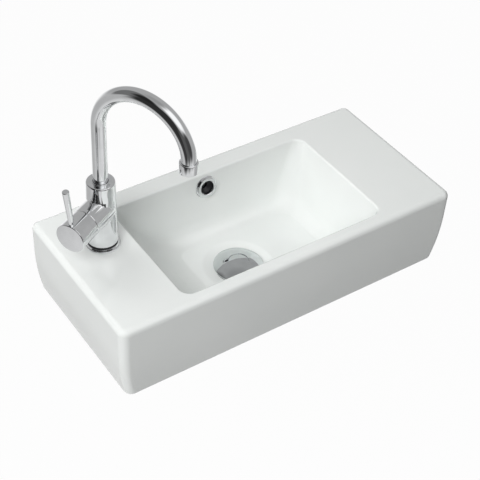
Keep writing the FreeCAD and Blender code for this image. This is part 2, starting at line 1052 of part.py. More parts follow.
def make_waste_body():
    """
    The waste: a flange on the floor of the bowl, a slotted threaded tail and an inner web. A relief
    groove parts the thread for the backnut from the end that the trap screws to.
    """
    bore = s.waste_bore / 2
    outer = s.waste_thread / 2
    flange = s.waste_flange_diameter / 2
    bevel = s.waste_flange_bevel
    thickness = s.waste_flange_thickness
    relief = s.waste_tail - s.waste_length
    relief_seat = outer - s.waste_relief_depth
    body = turned(
        "waste_body",
        [
            (bore, -s.waste_length),
            (outer, -s.waste_length),
            (outer, relief),
            (relief_seat, relief),
            (relief_seat, relief + s.waste_relief_width),
            (outer, relief + s.waste_relief_width),
            (outer, 0),
            (flange, 0),
            (flange, thickness - bevel),
            (flange - bevel, thickness),
            (s.waste_throat / 2, thickness),
            (bore, thickness - s.waste_throat_depth),
        ],
    )
    low = duct_low - flange_level
    slot = box_outline(
        new_sketch(body, "overflow_slot"),
        -s.slot_width / 2,
        s.slot_width / 2,
        low,
        low + s.duct_run_height,
    )
    pocket(body, slot, middle=True)
    reach = (bore + outer) / 2
    arm = s.web_arm / 2
    level = -s.web_drop - s.web_height
    for name, across, along in (("arm_x", reach, arm), ("arm_y", arm, reach)):
        bar = new_sketch(body, name, "XY_Plane", level)
        pad(body, box_outline(bar, -across, across, -along, along), s.web_height)
    pad(body, circle(new_sketch(body, "hub", "XY_Plane", level), s.web_hub), s.web_height)
    hub_hole = circle(new_sketch(body, "hub_hole", "XY_Plane", level), s.sleeve_stud + s.running * 2)
    pocket(body, hub_hole, s.web_height, reverse=True)
    place(body, s.waste_x, s.waste_y, flange_level)


def place_on_waste(thing, level):
    return place(thing, s.waste_x, s.waste_y, level)


def make_waste_seals():
    """The flat seal under the flange, then the cone washer and the slip washer under the boss."""
    inner = s.waste_thread + s.slip * 2
    flat_inner = s.waste_flange_diameter - s.waste_seal_width * 2
    flat = turned(
        "waste_top_seal",
        ring_corners(flat_inner, s.waste_flange_diameter - s.free * 2, s.waste_seal_thickness),
    )
    place_on_waste(flat, floor_level)
    cone = turned(
        "waste_bottom_seal",
        [
            (inner / 2, 0),
            (s.cone_washer_tip / 2, 0),
            (s.cone_washer_diameter / 2, s.cone_washer_height),
            (inner / 2, s.cone_washer_height),
        ],
    )
    cone_level = boss_level - s.cone_washer_height
    place_on_waste(cone, cone_level)
    slip = turned(
        "waste_slip_washer", ring_corners(inner, s.slip_washer_diameter, s.slip_washer_height)
    )
    place_on_waste(slip, cone_level - s.slip_washer_height)


def nut(name, flats, bore, height):
    """A hexagon nut with its outer corners turned off at both ends."""
    body = new_body(name)
    pad(body, hexagon(new_sketch(body, name + "_hexagon", "XY_Plane"), flats), height)
    pocket(body, circle(new_sketch(body, name + "_bore", "XY_Plane"), bore), height, reverse=True)
    corner = flats / root(Size.of(3))
    drop = (corner - flats / 2) * tangent(s.nut_chamfer_angle)
    for index, (level, edge) in enumerate(((0, drop), (height, height - drop))):
        chamfer = outline(
            new_sketch(body, "%s_chamfer_%d" % (name, index)),
            [(flats / 2, level), (corner + drop, level), (corner, edge)],
        )
        groove(body, chamfer)
    return body


def make_waste_backnut():
    body = nut(
        "waste_backnut", s.backnut_flats, s.waste_thread + s.running * 2, s.backnut_height
    )
    level = boss_level - s.cone_washer_height - s.slip_washer_height - s.backnut_height
    place_on_waste(body, level)


# Plug

def make_plug_cap():
    """The round plug: a dome whose middle lies a small step lower, over a groove for its seal."""
    outer = s.plug_diameter / 2
    top = s.plug_edge + s.plug_dome
    dome = curve_radius(outer, s.plug_dome)
    middle = s.plug_step_diameter / 2
    middle_rim = top - dome + root(square(dome) - square(middle))
    body = turned(
        "plug_cap",
        [
            (0, 0),
            (s.plug_seal_inner / 2, 0),
            (s.plug_seal_inner / 2, s.plug_seal_recess),
            (s.plug_seal_outer / 2, s.plug_seal_recess),
            (s.plug_seal_outer / 2, 0),
            (outer, 0),
            (outer, s.plug_edge, dome),
            (middle, middle_rim),
            (middle, middle_rim - s.plug_step, dome),
            (0, top - s.plug_step),
        ],
    )
    soften(body, "plug_edge_soft", s.plug_edge_radius, ring_edge(s.plug_edge, s.plug_diameter))
    place_on_waste(body, plug_under)


def make_plug_seal():
    body = turned(
        "plug_seal",
        ring_corners(
            s.plug_seal_inner + s.running * 2, s.plug_seal_outer - s.running * 2, s.plug_seal_height
        ),
    )
    place_on_waste(body, plug_under + s.plug_seal_recess - s.plug_seal_height)


def make_plug_stem():
    """The plunger: a collar that runs in the sleeve and a rod up to the plug."""
    collar = s.sleeve_bore / 2 - s.running
    rod = s.plunger_diameter / 2
    height = plug_under - collar_level
    body = turned(
        "plug_stem",
        [
            (0, 0),
            (collar, 0),
            (collar, s.plunger_collar_height),
            (rod, s.plunger_collar_height),
            (rod, height - s.plunger_boss_height),
            (s.plunger_boss / 2, height - s.plunger_boss_height),
            (s.plunger_boss / 2, height),
            (0, height),
        ],
    )
    place_on_waste(body, collar_level)


def make_plug_sleeve():
    """The sleeve of the click mechanism, screwed into the web of the waste."""
    outer = s.sleeve_diameter / 2
    bore = s.sleeve_bore / 2
    stud = s.sleeve_stud / 2
    mouth = s.plunger_diameter / 2 + s.running
    inside = s.spring_height + s.plunger_collar_height + s.plug_travel + s.sleeve_spare
    under = s.sleeve_base + inside
    body = turned(
        "plug_sleeve",
        [
            (0, -s.web_height),
            (stud, -s.web_height),
            (stud, 0),
            (outer, 0),
            (outer, under + s.sleeve_top),
            (mouth, under + s.sleeve_top),
            (mouth, under),
            (bore, under),
            (bore, s.sleeve_base),
            (0, s.sleeve_base),
        ],
    )
    place_on_waste(body, web_top)


def make_plug_spring():
    """The coil that lifts the plunger: one wire swept along a helix."""
    body = new_body("plug_spring")
    wire = s.spring_wire / 2
    section = circle(new_sketch(body, "wire"), s.spring_wire, s.spring_diameter / 2 - wire, 0)
    coil = body.newObject("PartDesign::AdditiveHelix", "coil")
    coil.Profile = section
    coil.ReferenceAxis = (section, ["V_Axis"])
    coil.Mode = "height-turns-angle"
    bind(coil, "Height", s.spring_height - (wire + s.running) * 2)
    bind(coil, "Turns", s.spring_turns)
    doc.recompute()
    place_on_waste(body, web_top + s.sleeve_base + wire + s.running)


# Tap body and its base

def make_tap_body():
    """The tap: a slightly tapered column with a side housing for the cartridge."""
    body = new_body("tap_body")
    foot = s.ring_height + s.body_lip
    spigot = s.spigot_diameter / 2
    neck = s.body_neck_diameter / 2
    column = outline(
        new_sketch(body, "column"),
        [
            (0, -s.spigot_drop),
            (spigot, -s.spigot_drop),
            (spigot, s.ring_height),
            (neck, s.ring_height),
            (neck, foot),
            (s.body_foot_diameter / 2, foot),
            (s.body_top_diameter / 2, s.body_height),
            (0, s.body_height),
        ],
    )
    turn(body, column)
    soften(body, "shoulder", s.body_shoulder, ring_edge(s.body_height, s.body_top_diameter))
    soften(body, "foot_edge", s.body_foot_edge, ring_edge(foot, s.body_foot_diameter))
    side = s.housing_diameter / 2
    ball = root(square(rim_from_pivot) + square(cap_inner)) - s.free
    end_radius = root(square(ball) - square(housing_end - s.pivot_reach))
    corner = s.pivot_reach + root(square(ball) - square(side))
    housing = outline(
        new_sketch(body, "housing", up=side_height),
        [
            (0, 0),
            (housing_end, 0),
            (housing_end, end_radius, ball),
            (corner, side),
            (0, side),
        ],
    )
    turn(body, housing, "H_Axis")
    nut_bore = s.nut_bore / 2
    pocket_bore = s.pocket_diameter / 2
    cartridge = outline(
        new_sketch(body, "cartridge_pocket", up=side_height),
        [
            (s.pocket_reach, 0),
            (housing_end + s.overrun, 0),
            (housing_end + s.overrun, nut_bore),
            (s.pocket_step, nut_bore),
            (s.pocket_step, pocket_bore),
            (s.pocket_reach, pocket_bore),
        ],
    )
    groove(body, cartridge, "H_Axis")
    socket = circle(new_sketch(body, "spout_socket", "XY_Plane", s.body_height), s.spout_socket)
    pocket(body, socket, s.spout_socket_depth)
    tap_waterways(body)
    place_on_tap(body, s.handle_angle)


def tap_waterways(body):
    """The two inlets, their ways up to the cartridge, the way to the spout and the screw holes."""
    inlets = new_sketch(body, "inlets", "XY_Plane", -s.spigot_drop)
    seats = new_sketch(body, "inlet_seats", "XY_Plane", -s.spigot_drop)
    start = s.inlet_depth - s.spigot_drop - s.overrun
    ways = new_sketch(body, "waterways", "XY_Plane", start)
    gates = new_sketch(body, "gates", "YZ_Plane", s.pocket_reach + s.running)
    gate_level = side_height - s.port_reach / 2
    for side in (-1, 1):
        circle(inlets, s.inlet_bore, s.inlet_reach, s.inlet_offset * side)
        circle(seats, s.inlet_seat_bore, s.inlet_reach, s.inlet_offset * side)
        circle(ways, s.waterway_bore, s.inlet_reach, s.inlet_offset * side)
        circle(gates, s.port_diameter, port_across * side, gate_level)
    pocket(body, inlets, s.inlet_depth, reverse=True)
    pocket(body, seats, s.inlet_seat_depth, reverse=True)
    pocket(body, ways, gate_level - start, reverse=True)
    pocket(body, gates, s.pocket_reach + s.running - s.inlet_reach)
    stud = circle(
        new_sketch(body, "stud_hole", "XY_Plane", -s.spigot_drop), s.stud_diameter, -s.stud_reach, 0
    )
    pocket(body, stud, s.stud_grip, reverse=True)
    port = circle(
        new_sketch(body, "outlet_port", "YZ_Plane", s.pocket_reach + s.running),
        s.port_diameter,
        0,
        side_height + s.port_reach,
    )
    pocket(body, port, s.overrun)
    screw = circle(
        new_sketch(body, "lock_screw_hole", "YZ_Plane"), s.lock_screw_diameter, 0, lock_height
    )
    pocket(body, screw, s.body_foot_diameter / 2 + s.overrun)


def make_tap_base():
    """The bright ring that the tap stands on and the seal in its underside."""
    inner = s.spigot_diameter / 2 + s.slip
    seal_inner = inner + s.base_seal_land
    seal_outer = seal_inner + s.base_seal_width
    outer = s.ring_diameter / 2
    bead_level = s.ring_edge_height - s.ring_bead
    ring = turned(
        "tap_base_ring",
        [
            (inner, 0),
            (seal_inner, 0),
            (seal_inner, s.base_seal_height),
            (seal_outer, s.base_seal_height),
            (seal_outer, 0),
            (outer, 0),
            (outer, bead_level, s.ring_bead),
            (outer - s.ring_bead, s.ring_edge_height),
            (s.ring_top_diameter / 2, s.ring_height),
            (inner, s.ring_height),
        ],
    )
    place_on_tap(ring, s.handle_angle)
    seal = turned(
        "tap_base_seal",
        ring_corners(
            (seal_inner + s.running) * 2, (seal_outer - s.running) * 2, s.base_seal_height
        ),
    )
    place_on_tap(seal, s.handle_angle)


def clamp_half(name, height, level):
    """A horseshoe under the deck: round, with a slot for the hoses and a hole for the stud."""
    body = new_body(name)
    half = s.clamp_slot / 2
    far = s.clamp_diameter / 2 + s.overrun
    pad(body, circle(new_sketch(body, name + "_plate", "XY_Plane"), s.clamp_diameter), height)
    slot = box_outline(
        new_sketch(body, name + "_slot", "XY_Plane"), s.clamp_slot_reach, far, -half, half
    )
    pocket(body, slot, height, reverse=True)
    slot_end = circle(
        new_sketch(body, name + "_slot_end", "XY_Plane"), s.clamp_slot, s.clamp_slot_reach, 0
    )
    pocket(body, slot_end, height, reverse=True)
    hole = circle(
        new_sketch(body, name + "_hole", "XY_Plane"), s.stud_diameter + s.free * 2, -s.stud_reach, 0
    )
    pocket(body, hole, height, reverse=True)
    place_on_tap(body, s.handle_angle, 0, level)


def make_clamp():
    """What holds the tap to the deck: a stud, a rubber and a steel horseshoe, and a nut."""
    rubber_level = -s.deck_thickness - s.clamp_rubber_height
    plate_level = rubber_level - s.clamp_plate_height
    clamp_half("clamp_rubber", s.clamp_rubber_height, rubber_level)
    clamp_half("clamp_plate", s.clamp_plate_height, plate_level)
    stud_radius = s.stud_diameter / 2 - s.running
    edge = s.stud_edge
    length = s.stud_drop + s.stud_grip - s.spigot_drop
    stud = turned(
        "tap_stud",
        [
            (0, 0),
            (stud_radius - edge, 0),
            (stud_radius, edge),
            (stud_radius, length - edge),
            (stud_radius - edge, length),
            (0, length),
        ],
    )
    place_on_tap(stud, s.handle_angle, -s.stud_reach, -s.stud_drop)
    clamp_nut = nut("clamp_nut", s.clamp_nut_flats, s.stud_diameter, s.clamp_nut_height)
    place_on_tap(clamp_nut, s.handle_angle, -s.stud_reach, plate_level - s.clamp_nut_height)


# Spout

def make_spout_pipe():
    """A thin tube: straight up, over in a half circle and a little way down."""
    body = new_body("spout_pipe")
    foot = nipple_top - s.nipple_socket
    bend = s.pipe_bend_radius
    ring = new_sketch(body, "pipe_ring", "XY_Plane", foot)
    circle(ring, s.pipe_diameter)
    circle(ring, s.pipe_diameter - s.pipe_wall * 2)
    path = new_sketch(body, "pipe_path")
    tip = pipe_rise - s.pipe_fall
    marks = [
        FreeCAD.Vector(0, foot.value, 0),
        FreeCAD.Vector(0, pipe_rise.value, 0),
        FreeCAD.Vector(bend.value * 2, pipe_rise.value, 0),
        FreeCAD.Vector(bend.value * 2, tip.value, 0),
    ]
    path.addGeometry(Part.LineSegment(marks[0], marks[1]))
    path.addGeometry(arc_between(marks[2], marks[1], bend.value))
    path.addGeometry(Part.LineSegment(marks[2], marks[3]))
    path.addConstraint(Sketcher.Constraint("Coincident", 0, 2, 1, 2))
    path.addConstraint(Sketcher.Constraint("Coincident", 1, 1, 2, 1))
    pin_point(path, 0, 1, (0, foot))
    pin_point(path, 1, 3, (bend, pipe_rise))
    pin_point(path, 1, 2, (0, pipe_rise))
    pin_point(path, 2, 2, (bend * 2, tip))
    path.addConstraint(Sketcher.Constraint("Horizontal", 1, 1, 1, 2))
    pipe = body.newObject("PartDesign::AdditivePipe", "pipe")
    pipe.Profile = ring
    pipe.Spine = (path, ["Edge1", "Edge2", "Edge3"])
    doc.recompute()
    place_on_tap(body, s.spout_angle)


def make_spout_nipple():
    """The end piece on the foot of the pipe, with grooves for the lock screw and the rings."""
    outer = (s.spout_socket - s.running * 2) / 2
    ring_seat = oring_centre - (s.oring_section + s.running) / 2
    lock_seat = outer - s.lock_groove_depth
    lock_low = lock_height - nipple_foot - s.lock_groove_width / 2
    socket = s.pipe_diameter / 2 + s.running
    feed_level = side_height + s.port_reach - nipple_foot
    feed_seat = outer - s.feed_groove_depth
    first = s.oring_first
    second = s.oring_first + s.oring_pitch
    corners = [(s.nipple_bore / 2, 0), (outer, 0)]
    for seat, low, high in (
        (ring_seat, first, first + s.oring_groove_width),
        (feed_seat, feed_level - s.feed_groove_width / 2, feed_level + s.feed_groove_width / 2),
        (ring_seat, second, second + s.oring_groove_width),
        (lock_seat, lock_low, lock_low + s.lock_groove_width),
    ):
        corners += [(outer, low), (seat, low), (seat, high), (outer, high)]
    shelf = s.nipple_height - s.nipple_socket
    corners += [
        (outer, s.nipple_height),
        (socket, s.nipple_height),
        (socket, shelf),
        (s.nipple_bore / 2, shelf),
    ]
    body = turned("spout_nipple", corners)
    feed = circle(new_sketch(body, "feed_hole", "YZ_Plane"), s.feed_hole, 0, feed_level)
    polar(body, pocket(body, feed, outer, reverse=True), s.feed_holes)
    place_on_tap(body, s.spout_angle, 0, nipple_foot)
    middle = s.oring_groove_width / 2
    centres = [(0, 0, low + middle) for low in (first, second)]
    orings = rings("spout_orings", s.oring_section, oring_centre * 2, centres)
    place_on_tap(orings, s.spout_angle, 0, nipple_foot)


def make_spout_bush():
    """The guide ring round the pipe, a little proud of the top of the tap."""
    foot = nipple_top + s.free
    height = s.body_height + s.bush_rise - foot
    inner = s.pipe_diameter / 2 + s.running
    outer = s.spout_socket / 2 - s.running
    bush = turned(
        "spout_bush",
        [
            (inner, 0),
            (outer, 0),
            (outer, height - s.bush_edge),
            (outer - s.bush_edge, height),
            (inner, height),
        ],
    )
    place_on_tap(bush, s.handle_angle, 0, foot)


def make_lock_screw():
    """The screw in the back of the tap whose tip holds the spout down and lets it turn."""
    radius = s.lock_screw_diameter / 2 - s.running
    tip = s.lock_tip_diameter / 2
    length = s.lock_screw_length
    total = length + s.lock_tip_length
    seat = (s.spout_socket - s.running * 2) / 2 - s.lock_groove_depth
    screw = turned(
        "spout_lock_screw",
        [(0, 0), (radius, 0), (radius, length), (tip, length), (tip, total), (0, total)],
    )
    reach = -(seat + s.free + total)
    place_on_tap(screw, s.handle_angle, reach, lock_height, spin((0, 1, 0), 90))


def place_on_outlet(thing, level):
    """Puts a sub-part on the outlet's own axis, at a height above the aerator's lower end."""
    foot = pipe_rise - s.pipe_fall - s.aerator_height + s.aerator_overlap
    return place_on_tap(thing, s.spout_angle, s.pipe_bend_radius * 2, foot + level)


def make_aerator():
    """The outlet: a screwed shell, the insert with its grid and a flat seal against the pipe."""
    outer = s.aerator_diameter / 2
    bore = s.pipe_diameter / 2 + s.slip
    shell = turned(
        "aerator_shell",
        [
            (s.aerator_mouth / 2, 0),
            (outer, 0),
            (outer, s.aerator_height),
            (bore, s.aerator_height),
            (bore, s.aerator_lip),
            (s.aerator_mouth / 2, s.aerator_lip),
        ],
    )
    for name, level in (("low_edge", 0), ("high_edge", s.aerator_height)):
        soften(shell, "aerator_" + name, s.aerator_edge, ring_edge(level, s.aerator_diameter))
    place_on_outlet(shell, Size.of(0))
    seal_level = s.aerator_height - s.aerator_overlap - s.aerator_seal_height
    seal = turned(
        "aerator_seal",
        ring_corners(s.aerator_seal_bore, s.pipe_diameter, s.aerator_seal_height),
    )
    place_on_outlet(seal, seal_level)
    insert = new_body("aerator_insert")
    height = seal_level - s.aerator_lip
    pad(insert, circle(new_sketch(insert, "core", "XY_Plane"), s.pipe_diameter), height)
    well = circle(new_sketch(insert, "well", "XY_Plane", height), s.grid_core)
    pocket(insert, well, height - s.grid_depth)
    hole = s.grid_pitch - s.grid_bar
    pocket(insert, circle(new_sketch(insert, "middle_hole", "XY_Plane"), hole), height, reverse=True)
    for index in (1, 2):
        row = new_sketch(insert, "hole_row_%d" % index, "XY_Plane")
        cut = pocket(insert, circle(row, hole, s.grid_pitch * index, 0), height, reverse=True)
        polar(insert, cut, s.grid_row * index)
    place_on_outlet(insert, s.aerator_lip)


# Cartridge

def ports(body, name, thickness):
    """Three round ways through a disc, evenly spaced."""
    hole = circle(new_sketch(body, name + "_port", "XY_Plane"), s.port_diameter, -s.port_reach, 0)
    polar(body, pocket(body, hole, thickness, reverse=True), s.port_count)


def make_cartridge_housing():
    outer = s.pocket_diameter / 2 - s.slip
    inner = outer - s.cartridge_wall
    length = s.pocket_step - cartridge_foot
    body = turned(
        "cartridge_housing",
        [
            (0, 0),
            (outer, 0),
            (outer, length),
            (inner, length),
            (inner, s.cartridge_base),
            (0, s.cartridge_base),
        ],
    )
    ports(body, "housing", s.cartridge_base)
    place_on_side_axis(body, cartridge_foot)
    section = s.port_seal_height
    reach = s.port_reach
    centres = [(-reach, 0, 0), (reach / 2, port_across, 0), (reach / 2, -port_across, 0)]
    seals = rings("cartridge_seals", section, s.port_seal_diameter - section, centres)
    place_on_side_axis(seals, s.pocket_reach + section / 2)


def make_discs():
    """The two ceramic discs and the plate that moves the outer one."""
    fixed = turned("fixed_disc", solid_disc(s.disc_diameter, s.disc_thickness))
    ports(fixed, "fixed", s.disc_thickness)
    place_on_side_axis(fixed, fixed_disc_foot)
    moving = turned("moving_disc", solid_disc(s.disc_diameter, s.disc_thickness))
    chamber = circle(new_sketch(moving, "chamber", "XY_Plane"), s.disc_chamber)
    pocket(moving, chamber, s.disc_chamber_depth, reverse=True)
    place_on_side_axis(moving, moving_disc_foot)
    driver = turned(
        "disc_driver",
        ring_corners(s.ball_diameter + s.slip * 2, s.driver_diameter, s.driver_thickness),
    )
    place_on_side_axis(driver, driver_foot)


def solid_disc(diameter, height):
    return [(0, 0), (diameter / 2, 0), (diameter / 2, height), (0, height)]


def make_carrier():
    """The turning part of the cartridge with a slot for the spindle, and the pin across it."""
    radius = s.pocket_diameter / 2 - s.slip - s.cartridge_wall - s.running
    length = s.carrier_top - carrier_foot
    pivot = s.pivot_reach - carrier_foot
    body = turned("cartridge_carrier", solid_disc(radius * 2, length))
    half = s.spindle_diameter / 2 + s.running * 2
    slot = box_outline(
        new_sketch(body, "spindle_slot", "XY_Plane"),
        -s.carrier_slot_above,
        s.carrier_slot_below,
        -half,
        half,
    )
    pocket(body, slot, length, reverse=True)
    hole = circle(
        new_sketch(body, "pin_hole", "XZ_Plane", -s.pivot_pin_length / 2),
        s.pivot_pin_diameter,
        0,
        pivot,
    )
    pocket(body, hole, s.pivot_pin_length, reverse=True)
    place_on_side_axis(body, carrier_foot)
    pin = turned("pivot_pin", solid_disc(s.pivot_pin_diameter, s.pivot_pin_length))
    place_on_tap(
        pin,
        s.handle_angle,
        s.pivot_reach,
        side_height,
        spin((1, 0, 0), -90),
        -s.pivot_pin_length / 2,
    )


def make_spindle():
    """The spindle: a ball end in the driver plate, a cross hole for the pin and a long shank."""
    ball = s.ball_diameter / 2
    neck = s.ball_neck / 2
    shank = s.spindle_diameter / 2
    end = s.spindle_end - s.pivot_reach
    edge = s.spindle_edge
    neck_level = root(square(ball) - square(neck)) - s.ball_reach
    body = turned(
        "lever_spindle",
        [
            (0, -s.ball_reach - ball, ball),
            (ball, -s.ball_reach, ball),
            (neck, neck_level),
            (neck, -s.spindle_shoulder),
            (shank, -s.spindle_shoulder),
            (shank, end - edge),
            (shank - edge, end),
            (0, end),
        ],
    )
    hole = circle(
        new_sketch(body, "cross_hole", "XZ_Plane"), s.pivot_pin_diameter + s.running * 2
    )
    pocket(body, hole, middle=True)
    place_on_side_axis(body, s.pivot_reach)


def make_cartridge_nut():
    """The ring nut that holds the cartridge, its head clear of the cap as the lever tilts."""
    bore = s.nut_hole / 2
    thread = s.nut_bore / 2 - s.running
    flange = s.nut_flange_diameter / 2
    head = housing_end - s.pocket_step
    end = s.nut_end - s.pocket_step
    nut_body = turned(
        "cartridge_nut",
        [
            (bore, 0),
            (thread, 0),
            (thread, head),
            (flange, head),
            (flange, head + s.nut_flange_height),
            (thread, end),
            (bore, end),
        ],
    )
    place_on_side_axis(nut_body, s.pocket_step)


# Handle

def make_handle_cap():
    """The round handle: a deep cap over the nut, a boss for the spindle and a solid end."""
    outer = s.cap_diameter / 2
    bore = s.spindle_diameter / 2 + s.running
    boss = s.cap_boss / 2
    rim = s.rim_reach
    inside = s.cap_inner_diameter / 2
    body = turned(
        "handle_cap",
        [
            (cap_inner, 0),
            (outer, 0),
            (outer, s.cap_end - rim),
            (0, s.cap_end - rim),
            (0, s.cap_bore_end - rim),
            (bore, s.cap_bore_end - rim),
            (bore, s.cap_boss_start - rim),
            (boss, s.cap_boss_start - rim),
            (boss, s.cap_inner_end - rim),
            (inside, s.cap_inner_end - rim),
            (inside, s.cap_rim_depth),
            (cap_inner, s.cap_rim_depth),
        ],
    )
    soften(body, "cap_edge_soft", s.cap_edge, ring_edge(s.cap_end - rim, s.cap_diameter))
    lean = s.lever_lean
    for name, diameter, depth in (
        ("lever_seat", s.lever_foot_diameter + s.slip * 2, s.lever_seat),
        ("lever_hole", s.lever_stud, s.lever_stud_length),
    ):
        hole = circle(
            new_sketch(
                body,
                name,
                "XY_Plane",
                offset=s.lever_reach - rim + s.overrun * sine(lean),
                across=-outer - s.overrun * cosine(lean),
                lean=90 - lean,
                lean_axis=(0, -1, 0),
            ),
            diameter,
        )
        pocket(body, hole, depth + s.overrun)
    screw = circle(
        new_sketch(body, "grub_hole", "YZ_Plane"), s.grub_diameter, 0, s.grub_reach - rim
    )
    pocket(body, screw, outer + s.overrun, reverse=True)
    place_on_side_axis(body, rim)


def make_lever_pin():
    """The lever: a flared pin, screwed into the cap and leaning outwards."""
    stud = s.lever_stud / 2 - s.running
    foot = s.lever_foot_diameter / 2
    tip = s.lever_tip_diameter / 2
    body = turned(
        "lever_pin",
        [
            (0, -s.lever_stud_length),
            (stud, -s.lever_stud_length),
            (stud, -s.lever_seat),
            (foot, -s.lever_seat),
            (tip, s.lever_length),
            (0, s.lever_length),
        ],
    )
    soften(body, "lever_edge_soft", s.lever_edge, ring_edge(s.lever_length, s.lever_tip_diameter))
    height = side_height + s.cap_diameter / 2
    place_on_tap(body, s.handle_angle, s.lever_reach, height, spin((0, 1, 0), s.lever_lean))


def make_grub_screw():
    """The screw in the underside of the cap that grips the spindle."""
    start = s.spindle_diameter / 2 + s.running
    body = turned(
        "handle_grub_screw", solid_disc(s.grub_diameter - s.running * 2, s.grub_length)
    )
    place_on_tap(
        body, s.handle_angle, s.grub_reach, side_height - start, spin((1, 0, 0), 180)
    )


# The whole part

def check_document():
    """Stops if any object failed or any sub-part has no sound shape."""
    doc.recompute()
    for item in doc.Objects:
        if "Invalid" in item.State or "Error" in item.State:
            raise RuntimeError("%s did not build: %s" % (item.Label, item.State))
    for item in subparts:
        if item.Shape.isNull() or not item.Shape.isValid():
            raise RuntimeError("%s has no sound shape" % item.Label)


def export_subparts():
    os.makedirs("parts", exist_ok=True)
    for item in subparts:
        item.Shape.exportStep("parts/%s.step" % item.Label)
        print("%-20s %d solid, %9.1f mm3" % (item.Label, len(item.Shape.Solids), item.Shape.Volume))


make_basin()
make_overflow_ring()
make_waste_body()
make_waste_seals()
make_waste_backnut()
make_plug_cap()
make_plug_seal()
make_plug_stem()
make_plug_sleeve()
make_plug_spring()
make_tap_body()
make_tap_base()
make_clamp()
make_spout_pipe()
make_spout_nipple()
make_spout_bush()
make_lock_screw()
make_aerator()
make_cartridge_housing()
make_discs()
make_carrier()
make_spindle()
make_cartridge_nut()
make_handle_cap()
make_lever_pin()
make_grub_screw()
check_document()
export_subparts()
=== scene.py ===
import json
import math

import bmesh
import bpy
from mathutils import Matrix, Vector


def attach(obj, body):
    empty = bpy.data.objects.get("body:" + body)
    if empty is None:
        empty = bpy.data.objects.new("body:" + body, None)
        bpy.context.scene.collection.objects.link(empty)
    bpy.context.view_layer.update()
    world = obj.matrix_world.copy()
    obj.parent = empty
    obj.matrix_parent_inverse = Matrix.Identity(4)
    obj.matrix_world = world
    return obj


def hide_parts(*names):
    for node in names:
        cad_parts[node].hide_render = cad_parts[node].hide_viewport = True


# Wall-hung washbasin with a swan-neck mixer tap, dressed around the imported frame.
# The part's frame is in metres: X right along the wall, -Y to the front, Z up.
# Sizes and outlines of the pieces are in millimetres, and MM turns them into metres.

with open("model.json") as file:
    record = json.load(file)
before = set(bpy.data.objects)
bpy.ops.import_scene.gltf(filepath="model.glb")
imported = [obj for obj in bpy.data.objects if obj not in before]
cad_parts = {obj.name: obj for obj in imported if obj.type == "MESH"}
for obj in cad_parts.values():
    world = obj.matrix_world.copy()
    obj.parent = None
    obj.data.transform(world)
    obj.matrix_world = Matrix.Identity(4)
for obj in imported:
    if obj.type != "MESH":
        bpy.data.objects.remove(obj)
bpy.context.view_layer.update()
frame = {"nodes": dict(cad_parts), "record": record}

MM = 0.001
DECK_HEIGHT = 45
BOWL_DEPTH = 94.5
# The tap's axis on the deck, and the waste's axis on the floor of the bowl
TAP_FOOT = Vector((-191.25 * MM, -81 * MM, DECK_HEIGHT * MM))
WASTE_SEAT = Vector((-12 * MM, -121.5 * MM, (DECK_HEIGHT - BOWL_DEPTH) * MM))
# The handle's axis over the deck, and where handle and spout point at rest
HANDLE_HEIGHT = 58
HANDLE_HEADING = math.radians(-152)
SPOUT_HEADING = math.radians(-65)


def new_object(name, data):
    thing = bpy.data.objects.new(name, data)
    bpy.context.scene.collection.objects.link(thing)
    return thing


# Camera at the photograph's angle

# Its place and reach are in metres, and its sensor is in millimetres
CAMERA_PLACE = Vector((-0.6974, -1.0421, 1.0265))
CAMERA_FORWARD = Vector((0.44475, 0.59744, -0.66729)).normalized()
CAMERA_ROLL = math.radians(3.86)
FOCAL_PIXELS = 1184
PICTURE_PIXELS = 480
SENSOR_WIDTH = 36
CAMERA_REACH = 60


def add_camera():
    data = bpy.data.cameras.new("photo_camera")
    data.sensor_fit = "HORIZONTAL"
    data.sensor_width = SENSOR_WIDTH
    data.lens = SENSOR_WIDTH * FOCAL_PIXELS / PICTURE_PIXELS
    data.clip_end = CAMERA_REACH
    camera = new_object("photo_camera", data)
    right = CAMERA_FORWARD.cross(Vector((0, 0, 1))).normalized()
    up = right.cross(CAMERA_FORWARD)
    turned_right = right * math.cos(CAMERA_ROLL) + up * math.sin(CAMERA_ROLL)
    turned_up = up * math.cos(CAMERA_ROLL) - right * math.sin(CAMERA_ROLL)
    axes = Matrix((turned_right, turned_up, -CAMERA_FORWARD)).transposed()
    camera.matrix_world = Matrix.Translation(CAMERA_PLACE) @ axes.to_4x4()
    bpy.context.scene.camera = camera


# Materials

# Where the noise reaches the low shade and the high one
NOISE_LOW = 0.3
NOISE_HIGH = 0.7
DRIFT_DETAIL = 3
BUMP_DETAIL = 2
BUMP_STRENGTH = 0.6


class Nodes:
    """A thin layer over a node tree that makes nodes and joins them."""

    def __init__(self, tree):
        self.tree = tree
        tree.nodes.clear()

    def add(self, kind, inputs=None, **attributes):
        """A new node with these attributes and these values in its inputs."""
        node = self.tree.nodes.new(kind)
        for name, value in attributes.items():
            setattr(node, name, value)
        for key, value in (inputs or {}).items():
            node.inputs[key].default_value = value
        return node

    def join(self, source, target):
        self.tree.links.new(source, target)


